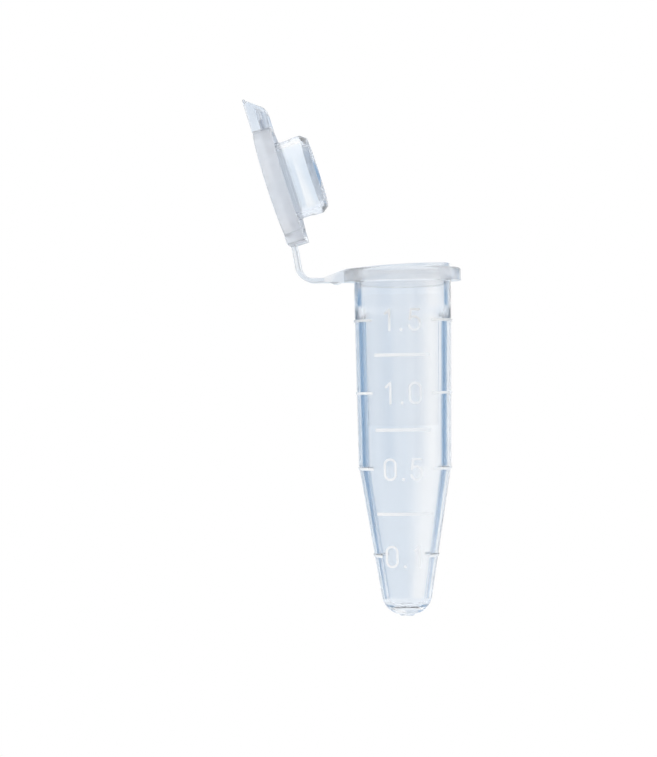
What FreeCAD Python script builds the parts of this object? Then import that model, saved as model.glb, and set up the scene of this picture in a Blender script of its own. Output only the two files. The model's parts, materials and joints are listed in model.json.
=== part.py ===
"""Microcentrifuge tube of 1.5 mL with its attached snap lid, lid open.

Millimetres, +Z up along the tube's axis. The origin is on that axis in the plane of the collar's underside,
where the tube hangs in a rack. The hinge lies towards -X, and the volume numbers face -Y. The lid is drawn in
its own frame (plug axis = Z, skirt's lower edge = 0) and then placed open.
"""
import FreeCAD, Part
import math
import os
import Sketcher
from FreeCAD import Placement, Rotation, Vector

SIZES = {
    # collar and neck
    "rim_radius": 6.55, "rim_height": 1.45, "rim_round": 0.3,
    "bore_radius": 4.75, "lead_in_radius": 5.05, "lead_in_depth": 1.2,
    "neck_radius": 5.41, "neck_end": -3.95, "step_end": -4.75,
    # barrel and cone
    "barrel_radius": 5.38, "barrel_bore": 4.4, "kink_z": -20.5, "kink_radius": 5.17, "kink_bore": 4.2,
    "tip_z": -37.2, "tip_radius": 2.47, "tip_round": 2.3,
    "floor_z": -36.05, "floor_radius": 1.96, "floor_round": 1.0,
    "gate_radius": 0.8, "gate_height": 0.1,
    # slanted lip on the collar
    "lip_inner": 5.08, "lip_outer": 5.34, "lip_height_hinge": 0.05, "lip_height_front": 0.52,
    # raised marks
    "mark_height": 0.12, "stroke": 0.26, "digit_height": 2.5, "digit_width": 1.45, "dot_radius": 0.17,
    "bar_length": 6.1, "bar_height": 0.36, "tick_height": 0.28, "tick_back": 2.5,
    "tick_start": 3.3, "tick_start_low": 2.55,
    "mark_1_5": -4.4, "mark_1_0": -12.45, "mark_0_5": -20.85, "mark_0_1": -30.55,
    "bar_upper": -8.25, "bar_middle": -16.5, "bar_lower": -25.8,
    # hinge tongue and strap
    "tongue_end": -8.6, "tongue_width": 4.2, "tongue_top": 1.3, "tongue_tip_height": 0.56,
    "rib_x": -7.5, "rib_length": 1.2, "rib_depth": 0.2, "rib_width": 3.4,
    "strap_thick": 0.5, "strap_width": 3.5, "strap_gap": 0.26, "crease_start": 0.5, "crease_turn": 40.0,
    "strap_run": 1.3, "strap_radius": 1.75, "strap_turn": 81.0, "strap_rise": 1.99,
    # lid, in its own frame
    "lid_radius": 6.5, "lid_top": 2.1, "plate_under": 1.1, "skirt_wall": 0.6, "strap_drop": 0.26,
    "lid_open": 106.75, "lid_back": -7.05, "lid_back_width": 6.0, "lid_joint": -7.6,
    "tab_width": 5.0, "tab_under": 8.4, "tab_front": 9.85, "tab_slant_top": 1.8, "tab_wall": 0.5,
    "bead_low": 1.8, "bead_proud": 0.14, "ejector_x": 7.15, "ejector_radius": 0.5, "ejector_height": 0.2,
    "plug_bore": 3.75, "plug_radius": 4.42, "plug_end": -3.4, "plug_end_radius": 4.0,
    "plug_bevel": -2.8, "shoulder_radius": 4.5, "shoulder_end": -0.35,
    "seal_radius": 4.52, "seal_top": -1.8, "seal_low": -2.7,
}
LABELS = {"1.5": "mark_1_5", "1.0": "mark_1_0", "0.5": "mark_0_5", "0.1": "mark_0_1"}

doc = FreeCAD.newDocument("MicroTube")
sheet = doc.addObject("Spreadsheet::Sheet", "size")
for row, (alias, number) in enumerate(SIZES.items(), start=1):
    sheet.set(f"A{row}", alias)
    sheet.set(f"B{row}", str(number))
    sheet.setAlias(f"B{row}", alias)
doc.recompute()
pieces = []


def value(expression):
    """The number that an expression of the sheet's aliases has now."""
    return float(sheet.evalExpression(with_sheet(expression)))


def with_sheet(expression):
    """The expression with each alias written as the sheet's own cell."""
    words = expression.replace("(", " ( ").replace(")", " ) ").split()
    return " ".join(f"size.{word}" if word in SIZES else word for word in words)


def bind(feature, **expressions):
    """Bind a feature's properties to the sheet."""
    for name, expression in expressions.items():
        feature.setExpression(name, with_sheet(expression))


def new_body(name):
    body = doc.addObject("PartDesign::Body", name)
    body.Label = name
    pieces.append(body)
    return body


def new_sketch(body, plane):
    """A sketch on one of the body's own origin planes."""
    sketch = body.newObject("Sketcher::SketchObject", f"{body.Name}_sketch")
    origin_plane = next(feature for feature in body.Origin.OriginFeatures if feature.Role == plane)
    sketch.AttachmentSupport = [(origin_plane, "")]
    sketch.MapMode = "FlatFace"
    return sketch


def hold_point(sketch, line, place):
    """Hold the start of a line at two expressions of the sheet, measured from the sketch's origin."""
    for kind, expression in zip(("DistanceX", "DistanceY"), place):
        number = sketch.addConstraint(Sketcher.Constraint(kind, -1, 1, line, 1, value(expression)))
        sketch.setExpression(f"Constraints[{number}]", with_sheet(expression))


def polygon(body, plane, places):
    """A closed polygon whose corners are pairs of expressions."""
    sketch = new_sketch(body, plane)
    corners = [Vector(value(across), value(up), 0) for across, up in places]
    count = len(corners)
    for index, corner in enumerate(corners):
        sketch.addGeometry(Part.LineSegment(corner, corners[(index + 1) % count]), False)
    for index in range(count):
        sketch.addConstraint(Sketcher.Constraint("Coincident", index, 2, (index + 1) % count, 1))
    for index, place in enumerate(places):
        hold_point(sketch, index, place)
    return sketch


def rectangle(body, plane, low, high):
    return polygon(body, plane, [low, (high[0], low[1]), high, (low[0], high[1])])


def circle(body, radius, centre_x=None):
    """A circle in the XY plane, on the axis unless a place along X is given."""
    sketch = new_sketch(body, "XY_Plane")
    middle = Vector(value(centre_x) if centre_x else 0, 0, 0)
    sketch.addGeometry(Part.Circle(middle, Vector(0, 0, 1), value(radius)), False)
    if centre_x:
        sketch.addConstraint(Sketcher.Constraint("PointOnObject", 0, 3, -1))
        number = sketch.addConstraint(Sketcher.Constraint("DistanceX", -1, 1, 0, 3, value(centre_x)))
        sketch.setExpression(f"Constraints[{number}]", with_sheet(centre_x))
    else:
        sketch.addConstraint(Sketcher.Constraint("Coincident", 0, 3, -1, 1))
    number = sketch.addConstraint(Sketcher.Constraint("Radius", 0, value(radius)))
    sketch.setExpression(f"Constraints[{number}]", with_sheet(radius))
    return sketch


def half_round(body, low, high, radius):
    """A shallow round ridge in the XZ plane: a chord from low to high and the arc that bulges from it."""
    sketch = new_sketch(body, "XZ_Plane")
    first, last = (Vector(value(place[0]), value(place[1]), 0) for place in (low, high))
    reach = value(radius)
    chord = last - first
    outward = Vector(chord.y, -chord.x, 0).normalize()
    sagitta = reach - math.sqrt(reach**2 - (chord.Length / 2) ** 2)
    crest = (first + last) * 0.5 + outward * sagitta
    sketch.addGeometry(Part.LineSegment(last, first), False)
    sketch.addGeometry(Part.Arc(first, crest, last), False)
    sketch.addConstraint(Sketcher.Constraint("Coincident", 0, 2, 1, 1))
    sketch.addConstraint(Sketcher.Constraint("Coincident", 0, 1, 1, 2))
    hold_point(sketch, 0, high)
    hold_point(sketch, 1, low)
    number = sketch.addConstraint(Sketcher.Constraint("Radius", 1, reach))
    sketch.setExpression(f"Constraints[{number}]", with_sheet(radius))
    return sketch


def pad(body, sketch, length, start=None, midplane=False):
    """Pad a sketch by a length, from a height above its plane or to both sides of it."""
    feature = body.newObject("PartDesign::Pad", f"{body.Name}_pad")
    feature.Profile = sketch
    bind(feature, Length=length)
    feature.Midplane = midplane
    if start:
        sketch.setExpression("AttachmentOffset.Base.z", with_sheet(start))
    return feature


def pocket(body, sketch, length=None, midplane=False, upwards=False):
    """Cut a sketch out of the body, and make sure that something was cut."""
    doc.recompute()
    before = body.Shape.Volume
    feature = body.newObject("PartDesign::Pocket", f"{body.Name}_pocket")
    feature.Profile = sketch
    if length:
        bind(feature, Length=length)
    else:
        feature.Type = "ThroughAll"
    feature.Midplane = midplane
    feature.Reversed = upwards
    doc.recompute()
    if body.Shape.Volume > before - 1e-6:
        raise RuntimeError(f"{feature.Name} cuts nothing")
    return feature


def turned(name, places):
    """A ring or a shell of revolution about Z from a profile in the XZ plane."""
    body = new_body(name)
    sketch = polygon(body, "XZ_Plane", places)
    feature = body.newObject("PartDesign::Revolution", f"{name}_turn")
    feature.Profile = sketch
    feature.ReferenceAxis = (sketch, ["V_Axis"])
    feature.Angle = 360.0
    doc.recompute()
    return body


def round_edge(body, radius, at_radius, at_height):
    """Fillet the circular edge that has this radius and height in the body's own frame."""
    doc.recompute()
    base = body.Tip
    wanted = (value(at_radius), value(at_height))
    for index, edge in enumerate(base.Shape.Edges, start=1):
        curve = edge.Curve
        if isinstance(curve, Part.Circle) and math.dist((curve.Radius, curve.Center.z), wanted) < 1e-4:
            feature = body.newObject("PartDesign::Fillet", f"{body.Name}_round")
            feature.Base = (base, [f"Edge{index}"])
            bind(feature, Radius=radius)
            doc.recompute()
            return
    raise RuntimeError(f"{body.Name} has no edge of radius {wanted[0]} at height {wanted[1]}")


def shaped(name, shape):
    """A piece whose shape is made with Part's own functions."""
    feature = doc.addObject("Part::Feature", name)
    feature.Label = name
    feature.Shape = shape
    pieces.append(feature)


# ---- tube ----

def make_tube():
    collar = turned("rim_collar", [
        ("lead_in_radius", "rim_height"), ("rim_radius", "rim_height"), ("rim_radius", "0"),
        ("bore_radius", "0"), ("bore_radius", "rim_height - lead_in_depth")])
    round_edge(collar, "rim_round", "rim_radius", "rim_height")
    turned("neck_wall", [
        ("bore_radius", "0"), ("neck_radius", "0"), ("neck_radius", "step_end"),
        ("barrel_bore", "step_end"), ("bore_radius", "neck_end")])
    turned("barrel_wall", [
        ("barrel_bore", "step_end"), ("barrel_radius", "step_end"),
        ("kink_radius", "kink_z"), ("kink_bore", "kink_z")])
    cone = turned("cone_wall", [
        ("kink_bore", "kink_z"), ("kink_radius", "kink_z"), ("tip_radius", "tip_z"),
        ("0", "tip_z"), ("0", "floor_z"), ("floor_radius", "floor_z")])
    round_edge(cone, "tip_round", "tip_radius", "tip_z")
    round_edge(cone, "floor_round", "floor_radius", "floor_z")
    gate = new_body("gate_disc")
    pad(gate, circle(gate, "gate_radius"), "gate_height", "tip_z - gate_height")


def make_lip():
    """Thin ring on the collar, cut by a plane that climbs from the hinge to the front."""
    lip = turned("mouth_lip", [
        ("lip_inner", "rim_height"), ("lip_outer", "rim_height"),
        ("lip_outer", "rim_height + lip_height_front"), ("lip_inner", "rim_height + lip_height_front")])
    slope = polygon(lip, "XZ_Plane", [
        ("0 - lip_outer", "rim_height + lip_height_hinge"), ("lip_outer", "rim_height + lip_height_front"),
        ("lip_outer", "rim_height + rim_height"), ("0 - lip_outer", "rim_height + rim_height")])
    pocket(lip, slope, midplane=True)


def make_tongue():
    """Wedge between the collar and the strap, with a round rib under it."""
    tongue = new_body("hinge_tongue")
    wedge = polygon(tongue, "XZ_Plane", [
        ("tongue_end", "0"), ("0 - bore_radius", "0"), ("0 - bore_radius", "tongue_top"),
        ("0 - rim_radius", "tongue_top"), ("tongue_end", "tongue_tip_height")])
    pad(tongue, wedge, "tongue_width", midplane=True)
    pocket(tongue, circle(tongue, "rim_radius"), midplane=True)
    rib = new_body("root_rib")
    chord = half_round(rib, ("rib_x - rib_length / 2", "0"), ("rib_x + rib_length / 2", "0"),
                       "(rib_length * rib_length / 4 + rib_depth * rib_depth) / (2 * rib_depth)")
    pad(rib, chord, "rib_width", midplane=True)
    root = new_body("strap_root_tube")
    pad(root, rectangle(root, "XZ_Plane", ("tongue_end - crease_start + strap_gap / 2", "0"),
                                          ("tongue_end", "strap_thick")),
        "strap_width", midplane=True)


# ---- raised marks on the front ----

def skin():
    """The layer outside the tube's wall that the marks fill, as a shell of revolution."""
    wall = [("neck_radius", "0"), ("neck_radius", "step_end"), ("barrel_radius", "step_end"),
            ("kink_radius", "kink_z"), ("tip_radius", "tip_z")]
    inner = [Vector(value(across), 0, value(up)) for across, up in wall]
    outer = [point + Vector(value("mark_height"), 0, 0) for point in reversed(inner)]
    face = Part.Face(Part.makePolygon(inner + outer + inner[:1]))
    return face.revolve(Vector(0, 0, 0), Vector(0, 0, 1), 360)


def stroke(wire):
    """The face that a pen of the stroke's width leaves along a wire."""
    return Part.Face(wire.makeOffset2D(value("stroke") / 2, fill=False, openResult=False))


def digit(figure, middle, height):
    """One digit's faces in the XZ plane, centred on a point."""
    half_wide = (value("digit_width") - value("stroke")) / 2
    half_high = (value("digit_height") - value("stroke")) / 2

    def point(across, up):
        return Vector(middle + across * half_wide, 0, height + up * half_high)

    if figure == "1":
        return [stroke(Part.makePolygon([point(-0.55, 0.62), point(0.25, 1), point(0.25, -1)]))]
    if figure == "0":
        top, low = (Part.Arc(point(-1, side * 0.35), point(0, side), point(1, side * 0.35)) for side in (1, -1))
        sides = [Part.LineSegment(point(side, 0.35), point(side, -0.35)) for side in (-1, 1)]
        ring = Part.Wire(Part.__sortEdges__([part.toShape() for part in (top, low, *sides)]))
        outer = ring.makeOffset2D(value("stroke") / 2)
        inner = ring.makeOffset2D(-value("stroke") / 2)
        return [Part.Face(outer).cut(Part.Face(inner))]
    hook = [Part.LineSegment(point(0.85, 1), point(-0.6, 1)), Part.LineSegment(point(-0.6, 1), point(-0.85, 0.05)),
            Part.Arc(point(-0.85, 0.05), point(0.15, 0.3), point(0.95, -0.32)),
            Part.Arc(point(0.95, -0.32), point(0.1, -1), point(-0.95, -0.55))]
    return [stroke(Part.Wire([part.toShape() for part in hook]))]


def raised(name, faces, layer):
    """Faces in the XZ plane, pushed towards -Y and kept where they meet the layer outside the wall."""
    reach = value("rim_radius")
    blocks = [face.extrude(Vector(0, -reach, 0)) for face in faces]
    solids = [solid for block in blocks for solid in block.common(layer).Solids]
    shaped(name, Part.makeCompound(solids))


def box_face(low_x, high_x, middle, height):
    corners = [Vector(x, 0, middle + side * height / 2)
               for x, side in ((low_x, -1), (high_x, -1), (high_x, 1), (low_x, 1), (low_x, -1))]
    return Part.Face(Part.makePolygon(corners))


def make_marks():
    layer = skin()
    spacing = value("digit_width")
    for text, alias in LABELS.items():
        height = value(alias)
        dot_height = height - value("digit_height") / 2 + value("dot_radius")
        dot = Part.Face(Part.Wire(Part.Circle(Vector(0, 0, dot_height), Vector(0, 1, 0),
                                              value("dot_radius")).toShape()))
        faces = digit(text[0], -spacing, height) + [dot] + digit(text[2], spacing, height)
        raised(f"numeral_{text.replace('.', '_')}", faces, layer)
        start = value("tick_start_low" if text == "0.1" else "tick_start")
        thick = value("tick_height")
        far = value("rim_radius")
        sides = [Part.makeBox(far - start, far + value("tick_back"), thick,
                              Vector(low_x, -far, height - thick / 2)) for low_x in (start, -far)]
        solids = [solid for side in sides for solid in side.common(layer).Solids]
        shaped(f"ticks_{text.replace('.', '_')}", Part.makeCompound(solids))
    half = value("bar_length") / 2
    for alias in ("bar_upper", "bar_middle", "bar_lower"):
        raised(alias, [box_face(-half, half, value(alias), value("bar_height"))], layer)


# ---- strap ----

def along(turned):
    """The strap's direction after it has turned by some degrees, in the XZ plane's own axes."""
    return Vector(-math.cos(math.radians(turned)), math.sin(math.radians(turned)), 0)


def on_bend(turned, outside=0.0):
    """A point some degrees round the strap's bend, on its centreline or outside it."""
    centre = Vector(value("tongue_end - strap_run"), value("strap_thick / 2 + strap_radius"), 0)
    heading = along(turned)
    return centre + Vector(-heading.y, heading.x, 0) * (value("strap_radius") + outside)


def make_stretch(name, start, end, lead=0.0, tail=0.0):
    """One stiff stretch of the strap: part of the bend, with a straight run before or after it."""
    link = new_body(name)
    half_thick = value("strap_thick") / 2
    sides, edges = [], []
    for outside in (half_thick, -half_thick):
        first, middle, last = (on_bend(turned, outside) for turned in (start, (start + end) / 2, end))
        edges.append(Part.Arc(first, middle, last))
        ends = first - along(start) * lead, last + along(end) * tail
        if lead:
            edges.append(Part.LineSegment(ends[0], first))
        if tail:
            edges.append(Part.LineSegment(last, ends[1]))
        sides.append(ends)
    edges += [Part.LineSegment(sides[0][side], sides[1][side]) for side in (0, 1)]
    sketch = new_sketch(link, "XZ_Plane")
    for index, edge in enumerate(edges):
        sketch.addGeometry(edge, False)
        sketch.addConstraint(Sketcher.Constraint("Block", index))
    pad(link, sketch, "strap_width", midplane=True)


def make_strap():
    """The strap's two stiff stretches, and the place of its last crease."""
    gap = value("strap_gap")
    crease_turn, whole_turn = value("crease_turn"), value("strap_turn")
    half_gap_turn = math.degrees(gap / 2 / value("strap_radius"))
    make_stretch("strap_link_1", 0.0, crease_turn - half_gap_turn,
                 lead=value("strap_run - crease_start - strap_gap / 2"))
    make_stretch("strap_link_2", crease_turn + half_gap_turn, whole_turn,
                 tail=value("strap_rise - strap_gap / 2"))
    last = on_bend(whole_turn) + along(whole_turn) * value("strap_rise")
    return Vector(last.x, 0, last.y)


# ---- lid, drawn closed in its own frame ----

def make_lid():
    plate = new_body("lid_plate")
    pad(plate, circle(plate, "lid_radius"), "lid_top - plate_under", "plate_under")
    back = ("lid_back", "0 - lid_back_width / 2"), ("0 - plug_bore", "lid_back_width / 2")
    pad(plate, rectangle(plate, "XY_Plane", *back), "lid_top - plate_under", "plate_under")

    skirt = new_body("lid_skirt")
    pad(skirt, circle(skirt, "lid_radius"), "plate_under")
    pad(skirt, rectangle(skirt, "XY_Plane", *back), "plate_under")
    pocket(skirt, circle(skirt, "lid_radius - skirt_wall"), "plate_under", upwards=True)
    inside = (("lid_back + skirt_wall", "0 - lid_back_width / 2 + skirt_wall"),
              ("0 - plug_bore", "lid_back_width / 2 - skirt_wall"))
    pocket(skirt, rectangle(skirt, "XY_Plane", *inside), "plate_under", upwards=True)

    tab = new_body("thumb_tab")
    outline = polygon(tab, "XZ_Plane", [
        ("plug_radius", "0"), ("tab_under", "0"), ("tab_front", "tab_slant_top"),
        ("tab_front", "lid_top"), ("plug_radius", "lid_top")])
    pad(tab, outline, "tab_width", midplane=True)
    hollow = polygon(tab, "XZ_Plane", [
        ("plug_radius", "0"), ("tab_under - tab_wall", "0"), ("tab_front - 2 * tab_wall", "plate_under"),
        ("plug_radius", "plate_under")])
    pocket(tab, hollow, "tab_width - 2 * tab_wall", midplane=True)
    pocket(tab, circle(tab, "lid_radius"), midplane=True)

    bead = new_body("tab_bead")
    chord = half_round(bead, ("tab_front", "bead_low"), ("tab_front", "lid_top"),
                       "((lid_top - bead_low) * (lid_top - bead_low) / 4 + bead_proud * bead_proud)"
                       " / (2 * bead_proud)")
    pad(bead, chord, "tab_width", midplane=True)

    mark = new_body("ejector_mark")
    pad(mark, circle(mark, "ejector_radius", "ejector_x"), "ejector_height", "plate_under - ejector_height")

    root = new_body("strap_root_lid")
    pad(root, rectangle(root, "XZ_Plane", ("lid_joint + strap_gap / 2", "lid_top - strap_drop - strap_thick"),
                        ("lid_back", "lid_top - strap_drop")), "strap_width", midplane=True)


def make_plug():
    turned("plug_shoulder", [
        ("plug_bore", "plate_under"), ("shoulder_radius", "plate_under"),
        ("shoulder_radius", "shoulder_end"), ("plug_bore", "shoulder_end")])
    turned("plug_wall", [
        ("plug_bore", "shoulder_end"), ("plug_radius", "shoulder_end"), ("plug_radius", "plug_bevel"),
        ("plug_end_radius", "plug_end"), ("plug_bore", "plug_end")])
    turned("seal_bead", [
        ("plug_radius", "seal_top + 0.2"), ("seal_radius", "seal_top"),
        ("seal_radius", "seal_low"), ("plug_radius", "plug_bevel")])


def place_lid(first, joint):
    """Place the lid's pieces so that its strap root meets the strap's last crease."""
    turn = Rotation(Vector(0, -1, 0), value("lid_open"))
    own_joint = Vector(value("lid_joint"), 0, value("lid_top - strap_drop - strap_thick / 2"))
    placement = Placement(joint - turn.multVec(own_joint), turn)
    for piece in pieces[first:]:
        piece.Placement = placement


def check_and_write():
    doc.recompute()
    for thing in doc.Objects:
        if "Invalid" in thing.State or "Error" in thing.State:
            raise RuntimeError(f"{thing.Name} failed: {thing.State}")
    os.makedirs("parts", exist_ok=True)
    for piece in pieces:
        if piece.Shape.isNull() or not piece.Shape.isValid() or not piece.Shape.Solids:
            raise RuntimeError(f"{piece.Label} has no valid solid")
        piece.Shape.exportStep(f"parts/{piece.Label}.step")
    volume = sum(piece.Shape.Volume for piece in pieces)
    print(f"{len(pieces)} pieces, {volume:.1f} mm3")


make_tube()
make_lip()
make_tongue()
make_marks()
last_crease = make_strap()
lid_start = len(pieces)
make_lid()
make_plug()
place_lid(lid_start, last_crease)
check_and_write()
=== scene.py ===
import json
import math

import bmesh
import bpy
from mathutils import Matrix, Vector


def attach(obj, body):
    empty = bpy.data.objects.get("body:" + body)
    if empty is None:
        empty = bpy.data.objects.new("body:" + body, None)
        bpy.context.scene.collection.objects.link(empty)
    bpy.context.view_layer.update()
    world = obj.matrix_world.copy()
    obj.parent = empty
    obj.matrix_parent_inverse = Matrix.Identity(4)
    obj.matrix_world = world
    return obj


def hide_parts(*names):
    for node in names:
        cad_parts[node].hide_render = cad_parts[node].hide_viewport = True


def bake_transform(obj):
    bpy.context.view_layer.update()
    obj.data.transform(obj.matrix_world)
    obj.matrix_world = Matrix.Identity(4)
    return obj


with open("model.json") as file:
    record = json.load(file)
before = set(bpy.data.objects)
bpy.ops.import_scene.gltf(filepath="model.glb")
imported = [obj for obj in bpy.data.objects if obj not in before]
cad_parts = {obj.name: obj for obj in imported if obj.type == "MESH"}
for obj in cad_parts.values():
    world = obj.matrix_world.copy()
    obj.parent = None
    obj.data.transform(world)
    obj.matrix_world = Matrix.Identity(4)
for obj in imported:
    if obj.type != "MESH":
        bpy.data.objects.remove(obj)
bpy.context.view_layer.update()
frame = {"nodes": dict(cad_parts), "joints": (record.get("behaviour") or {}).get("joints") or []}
millimetre = 0.001
joints = {joint["name"]: joint for joint in frame["joints"]}

# natural polypropylene: colour, gloss of the mould, milkiness, and ripple and grain of the skin in millimetres;
# the ejector dimple's dark colour is painted shade in its recess
finishes = {
    "clearWall": dict(colour=(0.985, 0.992, 1.0), rough=(0.01, 0.05), milky=0.07,
                      ripple=0.010, grain=0.0012),
    "collarPlastic": dict(colour=(0.975, 0.985, 1.0), rough=(0.05, 0.10), milky=0.24,
                          ripple=0.006, grain=0.0012),
    "markPlastic": dict(colour=(1.0, 1.0, 1.0), rough=(0.08, 0.15), milky=0.62,
                        ripple=0.0, grain=0.002),
    "strapPlastic": dict(colour=(0.975, 0.985, 1.0), rough=(0.05, 0.14), milky=0.22,
                         ripple=0.012, grain=0.002),
    "lidPlastic": dict(colour=(0.94, 0.96, 1.0), rough=(0.20, 0.26), milky=0.42,
                       ripple=0.0, grain=0.0012),
    "tabPlastic": dict(colour=(0.95, 0.97, 1.0), rough=(0.05, 0.09), milky=0.20,
                       ripple=0.002, grain=0.0012),
    # the ejector dimple's dark blue-grey colour is painted shade: the recess is the same plastic, darkened so
    # it looks shaded
    "dimplePaintedShade": dict(colour=(0.40, 0.48, 0.62), rough=(0.2, 0.3), milky=0.55,
                          ripple=0.0, grain=0.003),
    "plugPlastic": dict(colour=(0.975, 0.988, 1.0), rough=(0.02, 0.05), milky=0.05,
                        ripple=0.004, grain=0.0008),
}
# what every finish shares: the noises, in waves per metre, and how much of them shows
skin = {
    "index": 1.49, "clouds": 380, "cloudDetail": 3, "cloudsForGloss": (0.35, 0.7), "cloudsForMilk": (0.3, 0.75),
    "unevenMilk": 0.07, "streaks": 900, "streakStretch": (1, 1, 0.06), "grains": 7000,
}
# frosted area to write on, below the collar on the numbered side, in millimetres
writingPanel = {"halfWide": 3.95, "top": -1.5, "bottom": -16.1, "softness": 0.12, "front": -2.5}
panelFrost = {"rough": 0.07, "milky": 0.035, "relief": 0.012, "grains": 4200, "detail": 3}


def nodeTree(name):
    material = bpy.data.materials.new(name)
    material.use_nodes = True
    material.node_tree.nodes.clear()
    return material, material.node_tree


def mapped(tree, source, fromLow, fromHigh, toLow=0.0, toHigh=1.0):
    node = tree.nodes.new("ShaderNodeMapRange")
    node.interpolation_type = "SMOOTHSTEP"
    limits = {"From Min": fromLow, "From Max": fromHigh, "To Min": toLow, "To Max": toHigh}
    for socket, value in limits.items():
        node.inputs[socket].default_value = value
    tree.links.new(source, node.inputs["Value"])
    return node.outputs["Result"]


def maths(tree, operation, first, second=None):
    node = tree.nodes.new("ShaderNodeMath")
    node.operation = operation
    for socket, value in zip(node.inputs, (first, second)):
        if isinstance(value, (int, float)):
            socket.default_value = value
        elif value:
            tree.links.new(value, socket)
    return node.outputs[0]


def noise(tree, scale, detail=2.0, stretch=(1, 1, 1)):
    coordinates = tree.nodes.new("ShaderNodeTexCoord")
    mapping = tree.nodes.new("ShaderNodeMapping")
    mapping.inputs["Scale"].default_value = stretch
    texture = tree.nodes.new("ShaderNodeTexNoise")
    texture.inputs["Scale"].default_value = scale
    texture.inputs["Detail"].default_value = detail
    tree.links.new(coordinates.outputs["Object"], mapping.inputs["Vector"])
    tree.links.new(mapping.outputs["Vector"], texture.inputs["Vector"])
    return texture.outputs["Fac"]


def panelMask(tree):
    edges = {key: value * millimetre for key, value in writingPanel.items()}
    coordinates = tree.nodes.new("ShaderNodeTexCoord")
    parts = tree.nodes.new("ShaderNodeSeparateXYZ")
    tree.links.new(coordinates.outputs["Object"], parts.inputs["Vector"])
    soft = edges["softness"]
    fromMiddle = maths(tree, "ABSOLUTE", parts.outputs["X"])
    across = mapped(tree, fromMiddle, edges["halfWide"], edges["halfWide"] - soft)
    front = mapped(tree, parts.outputs["Y"], edges["front"] + soft, edges["front"])
    under = mapped(tree, parts.outputs["Z"], edges["top"], edges["top"] - soft)
    above = mapped(tree, parts.outputs["Z"], edges["bottom"], edges["bottom"] + soft)
    sides = maths(tree, "MULTIPLY", across, front)
    ends = maths(tree, "MULTIPLY", under, above)
    return maths(tree, "MULTIPLY", sides, ends)


def plastic(name, colour, rough, milky, ripple, grain):
    material, tree = nodeTree(name)
    output = tree.nodes.new("ShaderNodeOutputMaterial")
    shader = tree.nodes.new("ShaderNodeBsdfPrincipled")
    shader.inputs["IOR"].default_value = skin["index"]
    shader.inputs["Base Color"].default_value = (*colour, 1)
    clouds = noise(tree, skin["clouds"], skin["cloudDetail"])
    roughness = mapped(tree, clouds, *skin["cloudsForGloss"], *rough)
    clearest, milkiest = (1 - milky * (1 + side * skin["unevenMilk"]) for side in (-1, 1))
    clearness = mapped(tree, clouds, *skin["cloudsForMilk"], clearest, milkiest)
    streaks = noise(tree, skin["streaks"], stretch=skin["streakStretch"])
    height = maths(tree, "MULTIPLY", streaks, ripple)
    height = maths(tree, "ADD", height, maths(tree, "MULTIPLY", noise(tree, skin["grains"]), grain))
    if name == "clearWall":
        panel = panelMask(tree)
        roughness = maths(tree, "ADD", roughness, maths(tree, "MULTIPLY", panel, panelFrost["rough"]))
        clearness = maths(tree, "SUBTRACT", clearness, maths(tree, "MULTIPLY", panel, panelFrost["milky"]))
        frost = noise(tree, panelFrost["grains"], panelFrost["detail"])
        frost = maths(tree, "MULTIPLY", frost, panelFrost["relief"])
        height = maths(tree, "ADD", height, maths(tree, "MULTIPLY", panel, frost))
    bump = tree.nodes.new("ShaderNodeBump")
    bump.inputs["Distance"].default_value = millimetre
    tree.links.new(height, bump.inputs["Height"])
    tree.links.new(roughness, shader.inputs["Roughness"])
    tree.links.new(clearness, shader.inputs["Transmission Weight"])
    tree.links.new(bump.outputs["Normal"], shader.inputs["Normal"])
    tree.links.new(shader.outputs["BSDF"], output.inputs["Surface"])
    return material


def throughMaterial():
    # inside the plastic, where two regions of the one moulding meet, there is nothing to see
    material, tree = nodeTree("mouldedThrough")
    output = tree.nodes.new("ShaderNodeOutputMaterial")
    clear = tree.nodes.new("ShaderNodeBsdfTransparent")
    tree.links.new(clear.outputs["BSDF"], output.inputs["Surface"])
    return material


materials = {name: plastic(name, **facts) for name, facts in finishes.items()}
through = throughMaterial()
print("materials ready")

# lengths in millimetres, angles in degrees
meshing = {"merge": 1e-4, "near": 1e-3, "level": 0.99, "steps": 192, "smoothBelow": 32.0, "sharpFrom": 40.0,
           "copySharpFrom": 35.0, "copyFlatBelow": 1.0}
quarterTurns = [math.radians(turn) for turn in (90, 67.5, 45, 22.5, 0)]


# pieces are drawn in millimetres; joined(face) is true where the moulding carries on into its neighbour
def finished(name, mesh, finish, body=None, replaced=(), place=Matrix(), joined=None):
    bmesh.ops.remove_doubles(mesh, verts=mesh.verts, dist=meshing["merge"])
    bmesh.ops.recalc_face_normals(mesh, faces=mesh.faces)
    for face in mesh.faces:
        face.material_index = 1 if joined and joined(face) else 0
    bmesh.ops.transform(mesh, matrix=Matrix.Scale(millimetre, 4) @ place, verts=mesh.verts)
    data = bpy.data.meshes.new(name)
    mesh.to_mesh(data)
    mesh.free()
    data.materials.append(materials[finish])
    data.materials.append(through)
    data.shade_smooth()
    data.set_sharp_from_angle(angle=math.radians(meshing["smoothBelow"]))
    piece = bpy.data.objects.new(name, data)
    bpy.context.scene.collection.objects.link(piece)
    if body:
        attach(piece, body)
    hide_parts(*replaced)
    return piece


def bevelled(mesh, edges, offset, segments):
    bmesh.ops.bevel(mesh, geom=edges, offset=offset, offset_type="OFFSET", segments=segments, profile=0.5,
                    affect="EDGES", material=-1, clamp_overlap=True)


def sharpEdges(mesh, least=meshing["sharpFrom"]):
    return [edge for edge in mesh.edges
            if len(edge.link_faces) == 2 and edge.calc_face_angle() > math.radians(least)]


def liesAt(point, radius, height):
    near = meshing["near"]
    return abs(math.hypot(point.x, point.y) - radius) < near and abs(point.z - height) < near


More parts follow.
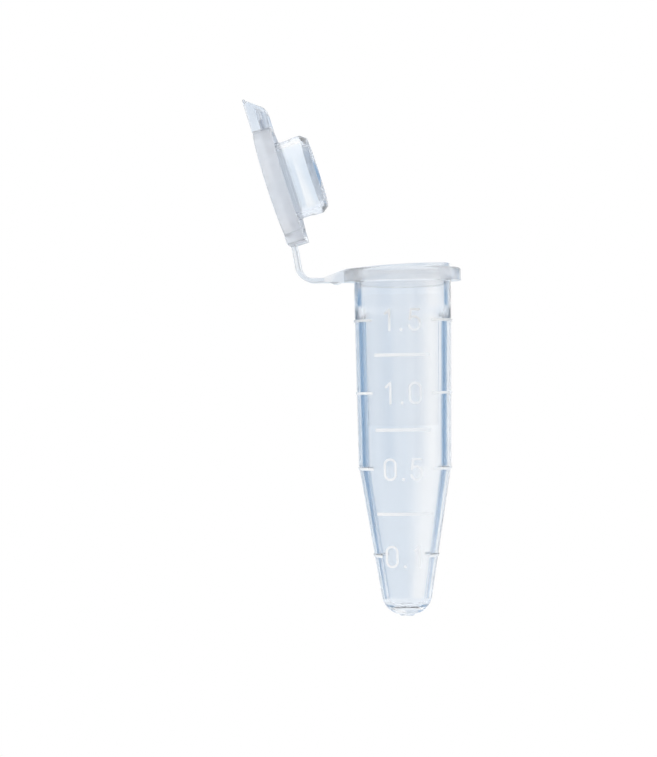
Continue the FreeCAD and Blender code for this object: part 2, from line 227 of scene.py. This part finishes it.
def spun(corners, rounds=None, segments=6, closed=True):
    mesh = bmesh.new()
    verts = [mesh.verts.new((radius, 0, height)) for radius, height in corners]
    for first, second in zip(verts, verts[1:] + (verts[:1] if closed else [])):
        mesh.edges.new((first, second))
    bmesh.ops.spin(mesh, geom=mesh.verts[:] + mesh.edges[:], axis=(0, 0, 1), cent=(0, 0, 0),
                   angle=2 * math.pi, steps=meshing["steps"], use_merge=True, use_duplicate=False)
    bmesh.ops.remove_doubles(mesh, verts=mesh.verts, dist=meshing["merge"])
    bmesh.ops.recalc_face_normals(mesh, faces=mesh.faces)
    for (radius, height), offset in (rounds or {}).items():
        ring = [edge for edge in mesh.edges if all(liesAt(vert.co, radius, height) for vert in edge.verts)]
        bevelled(mesh, ring, offset, segments)
    return mesh


def cadCopy(node, bevel, segments=2):
    mesh = bmesh.new()
    mesh.from_mesh(frame["nodes"][node].data)
    bmesh.ops.transform(mesh, matrix=Matrix.Scale(1 / millimetre, 4), verts=mesh.verts)
    bmesh.ops.remove_doubles(mesh, verts=mesh.verts, dist=meshing["merge"])
    bmesh.ops.dissolve_limit(mesh, angle_limit=math.radians(meshing["copyFlatBelow"]), verts=mesh.verts,
                             edges=mesh.edges)
    bevelled(mesh, sharpEdges(mesh, meshing["copySharpFrom"]), bevel, segments)
    return mesh


def isLevel(face, height):
    return (abs(face.normal.z) > meshing["level"]
            and abs(face.calc_center_median().z - height) < meshing["near"])


def flatAt(*heights, reach=math.inf):
    def test(face):
        middle = face.calc_center_median()
        return math.hypot(middle.x, middle.y) < reach and any(isLevel(face, height) for height in heights)
    return test


tubeSizes = {
    "rimRadius": 6.55, "rimHeight": 1.45, "rimRound": 0.3, "rimLower": 0.06, "fillet": 0.14,
    "bore": 4.75, "leadIn": 5.05, "leadInDepth": 1.2, "leadInRound": 0.1, "neck": 5.41,
    "shelfStart": -2.3, "shelfSteps": 10, "stepEnd": -4.75, "barrel": 5.38, "barrelBore": 4.4,
    "kink": -20.5, "kinkRadius": 5.17, "kinkBore": 4.2, "tip": -37.2, "tipRadius": 2.47, "tipRound": 1.96,
    "floor": -36.05, "floorRadius": 1.96, "floorRound": 0.85, "bottomSegments": 14,
}


def buildTube():
    size = tubeSizes
    filletEnd = size["neck"] + size["fillet"]
    collar = spun([(size["leadIn"], size["rimHeight"]), (size["rimRadius"], size["rimHeight"]),
                   (size["rimRadius"], 0), (filletEnd, 0), (size["bore"], 0),
                   (size["bore"], size["rimHeight"] - size["leadInDepth"])],
                  {(size["rimRadius"], size["rimHeight"]): size["rimRound"],
                   (size["rimRadius"], 0): size["rimLower"],
                   (size["leadIn"], size["rimHeight"]): size["leadInRound"]})
    finished("rimCollar", collar, "collarPlastic", "tube", ["rim_collar"],
             joined=flatAt(0, reach=filletEnd))

    underFillet = [(size["neck"] + size["fillet"] * (1 - math.cos(turn)),
                    size["fillet"] * (math.sin(turn) - 1)) for turn in quarterTurns]
    shelf = []
    for step in range(size["shelfSteps"] + 1):
        share = step / size["shelfSteps"]
        ease = share * share * (3 - 2 * share)
        shelf.append((size["bore"] + (size["barrelBore"] - size["bore"]) * ease,
                      size["shelfStart"] + (size["stepEnd"] - size["shelfStart"]) * share))
    neck = spun([(size["bore"], 0), *underFillet, (size["barrel"], size["stepEnd"]), *reversed(shelf)])
    finished("neckWall", neck, "clearWall", "tube", ["neck_wall"], joined=flatAt(0, size["stepEnd"]))

    barrel = spun([(size["barrelBore"], size["stepEnd"]), (size["barrel"], size["stepEnd"]),
                   (size["kinkRadius"], size["kink"]), (size["kinkBore"], size["kink"])])
    finished("barrelWall", barrel, "clearWall", "tube", ["barrel_wall"],
             joined=flatAt(size["stepEnd"], size["kink"]))

    cone = spun([(0, size["tip"]), (size["tipRadius"], size["tip"]), (size["kinkRadius"], size["kink"]),
                 (size["kinkBore"], size["kink"]), (size["floorRadius"], size["floor"]), (0, size["floor"])],
                {(size["tipRadius"], size["tip"]): size["tipRound"],
                 (size["floorRadius"], size["floor"]): size["floorRound"]},
                segments=size["bottomSegments"], closed=False)
    finished("coneWall", cone, "clearWall", "tube", ["cone_wall"], joined=flatAt(size["kink"]))
    print("tube wall spun")


lipSizes = {"inner": 5.08, "outer": 5.34, "hinge": 0.05, "front": 0.52, "blank": 1.0}


def buildLip():
    lip = lipSizes
    base = tubeSizes["rimHeight"]
    top = base + lip["blank"]
    mesh = spun([(lip["inner"], base), (lip["outer"], base), (lip["outer"], top), (lip["inner"], top)])
    rise = (lip["front"] - lip["hinge"]) / (2 * lip["outer"])
    for vert in mesh.verts:
        if vert.co.z > base + lip["blank"] / 2:
            vert.co.z = base + lip["hinge"] + rise * (vert.co.x + lip["outer"])
    finished("mouthLip", mesh, "collarPlastic", "tube", ["mouth_lip"], joined=flatAt(base))


marks = {
    "numeral15": "numeral_1_5", "numeral10": "numeral_1_0", "numeral05": "numeral_0_5",
    "numeral01": "numeral_0_1", "barUpper": "bar_upper", "barMiddle": "bar_middle",
    "barLower": "bar_lower", "ticks15": "ticks_1_5", "ticks10": "ticks_1_0", "ticks05": "ticks_0_5",
    "ticks01": "ticks_0_1",
}
markSizes = {"bevel": 0.04, "slack": 0.02}


def wallRadius(height):
    size = tubeSizes
    if height > size["kink"]:
        share = max((height - size["stepEnd"]) / (size["kink"] - size["stepEnd"]), 0)
        return size["barrel"] + share * (size["kinkRadius"] - size["barrel"])
    share = (height - size["kink"]) / (size["tip"] - size["kink"])
    return size["kinkRadius"] + share * (size["tipRadius"] - size["kinkRadius"])


def onWall(face):
    middle = face.calc_center_median()
    return math.hypot(middle.x, middle.y) < wallRadius(middle.z) + markSizes["slack"]


def buildMarks():
    for name, node in marks.items():
        finished(name, cadCopy(node, markSizes["bevel"]), "markPlastic", "tube", [node], joined=onWall)
    print("raised marks", len(marks))


tongueSizes = {"bevel": 0.08, "ribBevel": 0.03, "slack": 0.03}
gateSizes = {"bevel": 0.03}


def onCollar(face):
    middle = face.calc_center_median()
    return math.hypot(middle.x, middle.y) < tubeSizes["rimRadius"] + tongueSizes["slack"]


def buildTongue():
    finished("hingeTongue", cadCopy("hinge_tongue", tongueSizes["bevel"], segments=3), "collarPlastic",
             "tube", ["hinge_tongue"], joined=onCollar)
    finished("rootRib", cadCopy("root_rib", tongueSizes["ribBevel"]), "strapPlastic", "tube", ["root_rib"],
             joined=flatAt(0))


def buildGate():
    finished("gateDisc", cadCopy("gate_disc", gateSizes["bevel"], segments=3), "clearWall", "tube",
             ["gate_disc"], joined=flatAt(tubeSizes["tip"]))


# the lid is drawn closed, in its own frame: its plug's axis is Z and its skirt's lower edge lies at 0
lidSizes = {
    "open": 106.75, "radius": 6.5, "arcSteps": 160, "corner": 0.35, "top": 2.1, "topRound": 0.16,
    "plateUnder": 1.1, "wall": 0.6, "skirtRound": 0.08, "back": -7.05, "halfBack": 3.0, "jointX": -7.6,
    "strapMiddle": 1.59, "tabBevel": 0.1, "beadBevel": 0.03,
}
plugSizes = {
    "bore": 3.75, "shoulder": 4.5, "shoulderEnd": -0.35, "shoulderRound": 0.03, "outer": 4.42,
    "sealStart": -1.3, "sealFull": -1.9, "sealRound": 0.2, "seal": 4.52, "taperStart": -2.7,
    "taperRound": 0.1, "end": -3.4, "endRadius": 4.0, "endBore": 3.8, "endRound": 0.05,
}


def lidPlace():
    lastCrease = Vector(joints["strap_crease_3"]["pos_m"]) / millimetre
    turn = Matrix.Rotation(math.radians(lidSizes["open"]), 4, Vector((0, -1, 0)))
    ownJoint = Vector((lidSizes["jointX"], 0, lidSizes["strapMiddle"]))
    return Matrix.Translation(lastCrease) @ turn @ Matrix.Translation(-ownJoint)


def lidOutline(inset):
    size = lidSizes
    radius, half, back = size["radius"] - inset, size["halfBack"] - inset, size["back"] + inset
    edgeTurn = math.pi - math.asin(half / radius)
    count = size["arcSteps"]
    points = [(radius * math.cos(turn), radius * math.sin(turn))
              for turn in (edgeTurn * (2 * step / count - 1) for step in range(count + 1))]
    corner = size["corner"]
    for sign in (1, -1):
        arc = [(back + corner - corner * math.cos(turn), sign * (half - corner + corner * math.sin(turn)))
               for turn in quarterTurns]
        points += arc if sign == 1 else list(reversed(arc))
    return points


def shellMesh():
    # one skin from the lid's top over its rim and the skirt's inside to the middle of the underside
    mesh = bmesh.new()

    def onCircle(radius):
        return [(radius * x / math.hypot(x, y), radius * y / math.hypot(x, y))
                for x, y in lidOutline(lidSizes["wall"])]

    under = lidSizes["plateUnder"]
    rounds = [(lidOutline(0), lidSizes["top"]), (lidOutline(0), 0), (lidOutline(lidSizes["wall"]), 0),
              (lidOutline(lidSizes["wall"]), under), (onCircle(plugSizes["shoulder"]), under),
              (onCircle(plugSizes["bore"]), under)]
    loops = [[mesh.verts.new((x, y, height)) for x, y in points] for points, height in rounds]
    for upper, lower in zip(loops, loops[1:]):
        for index in range(len(upper)):
            following = (index + 1) % len(upper)
            mesh.faces.new((upper[index], upper[following], lower[following], lower[index]))
    mesh.faces.new(loops[0])
    mesh.faces.new(loops[-1])
    bmesh.ops.recalc_face_normals(mesh, faces=mesh.faces)
    return mesh


def overPlug(face):
    middle = face.calc_center_median()
    return (isLevel(face, lidSizes["plateUnder"])
            and plugSizes["bore"] < math.hypot(middle.x, middle.y) < plugSizes["shoulder"])


def buildLid():
    size = lidSizes
    place = lidPlace()
    shell = shellMesh()
    near = meshing["near"]
    topEdges = [edge for edge in sharpEdges(shell)
                if min(vert.co.z for vert in edge.verts) > size["top"] - near]
    bevelled(shell, topEdges, size["topRound"], 4)
    lowEdges = [edge for edge in sharpEdges(shell) if max(vert.co.z for vert in edge.verts) < near]
    bevelled(shell, lowEdges, size["skirtRound"], 3)
    finished("lidShell", shell, "lidPlastic", "lid", ["lid_plate", "lid_skirt"], place, joined=overPlug)
    finished("thumbTab", cadCopy("thumb_tab", size["tabBevel"], segments=4), "tabPlastic", "lid",
             ["thumb_tab"])
    finished("tabBead", cadCopy("tab_bead", size["beadBevel"]), "lidPlastic", "lid", ["tab_bead"])
    # the ejector mark takes the dimple's painted shade colour
    finished("ejectorMark", cadCopy("ejector_mark", size["beadBevel"]), "dimplePaintedShade", "lid",
             ["ejector_mark"])
    print("lid built")


def buildPlug():
    size = plugSizes
    place = lidPlace()
    under = lidSizes["plateUnder"]
    shoulder = spun([(size["bore"], under), (size["shoulder"], under),
                     (size["shoulder"], size["shoulderEnd"]), (size["outer"], size["shoulderEnd"]),
                     (size["bore"], size["shoulderEnd"])],
                    {(size["shoulder"], size["shoulderEnd"]): size["shoulderRound"]})
    finished("plugShoulder", shoulder, "plugPlastic", "lid", ["plug_shoulder"], place,
             joined=flatAt(under, size["shoulderEnd"], reach=size["outer"]))
    plug = spun([(size["bore"], size["shoulderEnd"]), (size["outer"], size["shoulderEnd"]),
                 (size["outer"], size["sealStart"]), (size["seal"], size["sealFull"]),
                 (size["seal"], size["taperStart"]), (size["endRadius"], size["end"]),
                 (size["endBore"], size["end"])],
                {(size["seal"], size["taperStart"]): size["taperRound"],
                 (size["endRadius"], size["end"]): size["endRound"],
                 (size["seal"], size["sealFull"]): size["sealRound"],
                 (size["outer"], size["sealStart"]): size["sealRound"]})
    finished("plugWall", plug, "plugPlastic", "lid", ["plug_wall", "seal_bead"], place,
             joined=flatAt(size["shoulderEnd"]))
    print("plug built")


strapSizes = {
    "thick": 0.5, "width": 3.5, "corner": 0.1, "tongueEnd": -8.6, "run": 1.3, "radius": 1.75,
    "turn": 81.0, "bendSteps": 27, "softening": 0.3, "softSteps": 5, "spacing": 0.11,
}


def strapLine():
    size = strapSizes
    half = size["thick"] / 2
    bendStart = size["tongueEnd"] - size["run"]
    centre = Vector((bendStart, 0, half + size["radius"]))
    corners = [Vector((size["tongueEnd"], 0, half))]
    for step in range(size["bendSteps"] + 1):
        turn = math.radians(size["turn"] * step / size["bendSteps"])
        corners.append(centre + size["radius"] * Vector((-math.sin(turn), 0, -math.cos(turn))))
    crease = Vector(joints["strap_crease_3"]["pos_m"]) / millimetre
    end = lidPlace() @ Vector((lidSizes["back"], 0, lidSizes["strapMiddle"]))
    before = crease + (corners[-1] - crease).normalized() * size["softening"]
    after = crease + (end - crease).normalized() * size["softening"]
    for step in range(size["softSteps"] + 1):
        share = step / size["softSteps"]
        corners.append(before.lerp(crease, share).lerp(crease.lerp(after, share), share))
    corners.append(end)
    line = [corners[0]]
    for before, after in zip(corners, corners[1:]):
        count = max(1, round((after - before).length / size["spacing"]))
        line += [before.lerp(after, (step + 1) / count) for step in range(count)]
    return line


def strapSection(mesh, centre, tangent):
    size = strapSizes
    side = Vector((0, 1, 0))
    up = tangent.cross(side).normalized()
    wide, half, corner = size["width"] / 2, size["thick"] / 2, size["corner"]
    points = []
    for quarter, (acrossSign, upSign) in enumerate(((1, 1), (-1, 1), (-1, -1), (1, -1))):
        for step in range(4):
            turn = math.radians(quarter * 90 + step * 30)
            across = acrossSign * (wide - corner) + corner * math.cos(turn)
            above = upSign * (half - corner) + corner * math.sin(turn)
            points.append(mesh.verts.new(centre + side * across + up * above))
    return points


def buildStrap():
    line = strapLine()
    names = ["lid_swing", "strap_crease_2", "strap_crease_3"]
    creases = [Vector(joints[name]["pos_m"]) / millimetre for name in names]
    nearest = [min(range(len(line)), key=lambda index: (line[index] - crease).length) for crease in creases]
    cuts = [0, (nearest[0] + nearest[1]) // 2, (nearest[1] + nearest[2]) // 2, len(line) - 1]
    replaced = [["strap_root_tube", "strap_link_1"], ["strap_link_2"], ["strap_root_lid"]]
    tangents = [(after - before).normalized()
                for before, after in zip([line[0]] + line[:-1], line[1:] + [line[-1]])]
    for index, nodes in enumerate(replaced):
        mesh = bmesh.new()
        span = range(cuts[index], cuts[index + 1] + 1)
        rings = [strapSection(mesh, line[step], tangents[step]) for step in span]
        for before, after in zip(rings, rings[1:]):
            for corner in range(len(before)):
                following = (corner + 1) % len(before)
                mesh.faces.new((before[corner], before[following], after[following], after[corner]))
        mesh.faces.new(rings[0])
        mesh.faces.new(rings[-1])
        piece = finished(f"strapBend{index + 1}", mesh, "strapPlastic", replaced=nodes,
                         joined=lambda face: len(face.verts) > 4)
        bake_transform(piece)
    print("strap built")


buildTube()
buildLip()
buildTongue()
buildGate()
buildMarks()
buildLid()
buildPlug()
buildStrap()


# light from all round; a card is (degrees from straight behind, colour), and the row of cards repeats
# for each side of the object
paleBlue, warmWhite, openWhite = (0.72, 0.79, 0.87), (0.95, 0.96, 0.97), (1, 1, 1)
flagBlue, paleFlag = (0.15, 0.30, 0.50), (0.36, 0.50, 0.67)
studioCards = [(-45, flagBlue), (-31, flagBlue), (-22, paleBlue), (-3, paleBlue), (4, warmWhite),
               (21, openWhite), (32, paleFlag), (45, flagBlue)]
studio = {"cardSpan": 90, "strength": 1.1, "cardsUpTo": 0.10, "beyondFrom": 0.24, "beyond": (0.86, 0.91, 0.97),
          "aboveStart": 0.3, "aboveFull": 0.7, "above": (1.0, 1.0, 1.0), "backdrop": (1, 1, 1), "bounces": 32}


def mixColour(tree, factor, first, second):
    node = tree.nodes.new("ShaderNodeMix")
    node.data_type = "RGBA"
    tree.links.new(factor, node.inputs[0])
    for socket, value in ((node.inputs[6], first), (node.inputs[7], second)):
        if isinstance(value, tuple):
            socket.default_value = (*value, 1)
        else:
            tree.links.new(value, socket)
    return node.outputs[2]


def buildWorld():
    world = bpy.data.worlds.new("studio")
    bpy.context.scene.world = world
    world.use_nodes = True
    tree = world.node_tree
    tree.nodes.clear()
    output = tree.nodes.new("ShaderNodeOutputWorld")
    coordinates = tree.nodes.new("ShaderNodeTexCoord")
    parts = tree.nodes.new("ShaderNodeSeparateXYZ")
    tree.links.new(coordinates.outputs["Generated"], parts.inputs["Vector"])
    azimuth = maths(tree, "ARCTAN2", parts.outputs["X"], parts.outputs["Y"])
    turns = maths(tree, "DIVIDE", azimuth, math.radians(studio["cardSpan"]))
    phase = maths(tree, "FRACT", maths(tree, "ADD", turns, 4.5))  # half a span, and whole ones to stay positive
    cards = tree.nodes.new("ShaderNodeValToRGB")
    cards.color_ramp.interpolation = "EASE"
    while len(cards.color_ramp.elements) < len(studioCards):
        cards.color_ramp.elements.new(0.5)
    for element, (degrees, colour) in zip(cards.color_ramp.elements, studioCards):
        element.position = degrees / studio["cardSpan"] + 0.5
        element.color = (*colour, 1)
    tree.links.new(phase, cards.inputs["Fac"])
    tilt = maths(tree, "ABSOLUTE", parts.outputs["Z"])
    beyond = mapped(tree, tilt, studio["cardsUpTo"], studio["beyondFrom"])
    pattern = mixColour(tree, beyond, cards.outputs["Color"], studio["beyond"])
    above = mapped(tree, parts.outputs["Z"], studio["aboveStart"], studio["aboveFull"])
    pattern = mixColour(tree, above, pattern, studio["above"])
    surround = tree.nodes.new("ShaderNodeBackground")
    surround.inputs["Strength"].default_value = studio["strength"]
    tree.links.new(pattern, surround.inputs["Color"])
    backdrop = tree.nodes.new("ShaderNodeBackground")
    backdrop.inputs["Color"].default_value = (*studio["backdrop"], 1)
    rays = tree.nodes.new("ShaderNodeLightPath")
    mix = tree.nodes.new("ShaderNodeMixShader")
    plainWhite = maths(tree, "MAXIMUM", rays.outputs["Is Camera Ray"], rays.outputs["Is Diffuse Ray"])
    tree.links.new(plainWhite, mix.inputs["Fac"])
    tree.links.new(surround.outputs["Background"], mix.inputs[1])
    tree.links.new(backdrop.outputs["Background"], mix.inputs[2])
    tree.links.new(mix.outputs["Shader"], output.inputs["Surface"])


shot = {"azimuth": 4.0, "distance": 280.0, "frameHeight": 84.6, "aimHeight": -10.73, "aside": 8.43,
        "roll": -0.85, "sensor": 36, "clipStart": 5.0}


def buildCamera():
    turn = math.radians(shot["azimuth"])
    right = Vector((math.cos(turn), math.sin(turn), 0))
    backwards = Vector((math.sin(turn), -math.cos(turn), 0))
    aim = Vector((0, 0, shot["aimHeight"])) - right * shot["aside"]
    lens = bpy.data.cameras.new("camera")
    lens.sensor_width = shot["sensor"]
    lens.lens = lens.sensor_width * shot["distance"] / shot["frameHeight"]
    lens.clip_start = shot["clipStart"] * millimetre
    camera = bpy.data.objects.new("camera", lens)
    bpy.context.scene.collection.objects.link(camera)
    camera.location = (aim + backwards * shot["distance"]) * millimetre
    facing = (-backwards).to_track_quat("-Z", "Y").to_matrix().to_4x4()
    camera.rotation_euler = (facing @ Matrix.Rotation(math.radians(shot["roll"]), 4, "Z")).to_euler()
    bpy.context.scene.camera = camera


floorSizes = {"halfWide": 0.25, "height": -0.060}


def buildFloor():
    material, tree = nodeTree("whiteSweep")
    output = tree.nodes.new("ShaderNodeOutputMaterial")
    glow = tree.nodes.new("ShaderNodeEmission")
    glow.inputs["Color"].default_value = (*studio["backdrop"], 1)
    tree.links.new(glow.outputs["Emission"], output.inputs["Surface"])
    data = bpy.data.meshes.new("floor")
    mesh = bmesh.new()
    bmesh.ops.create_grid(mesh, x_segments=1, y_segments=1, size=floorSizes["halfWide"])
    bmesh.ops.translate(mesh, vec=(0, 0, floorSizes["height"]), verts=mesh.verts)
    mesh.to_mesh(data)
    mesh.free()
    data.materials.append(material)
    floor = bpy.data.objects.new("floor", data)
    bpy.context.scene.collection.objects.link(floor)
    floor.visible_transmission = False
    floor.visible_glossy = False
    floor.visible_diffuse = False


buildWorld()
buildCamera()
buildFloor()
scene = bpy.context.scene
scene.view_settings.view_transform = "Standard"
scene.cycles.max_bounces = studio["bounces"]
scene.cycles.transmission_bounces = studio["bounces"]
scene.cycles.transparent_max_bounces = studio["bounces"]
print("light and camera ready")
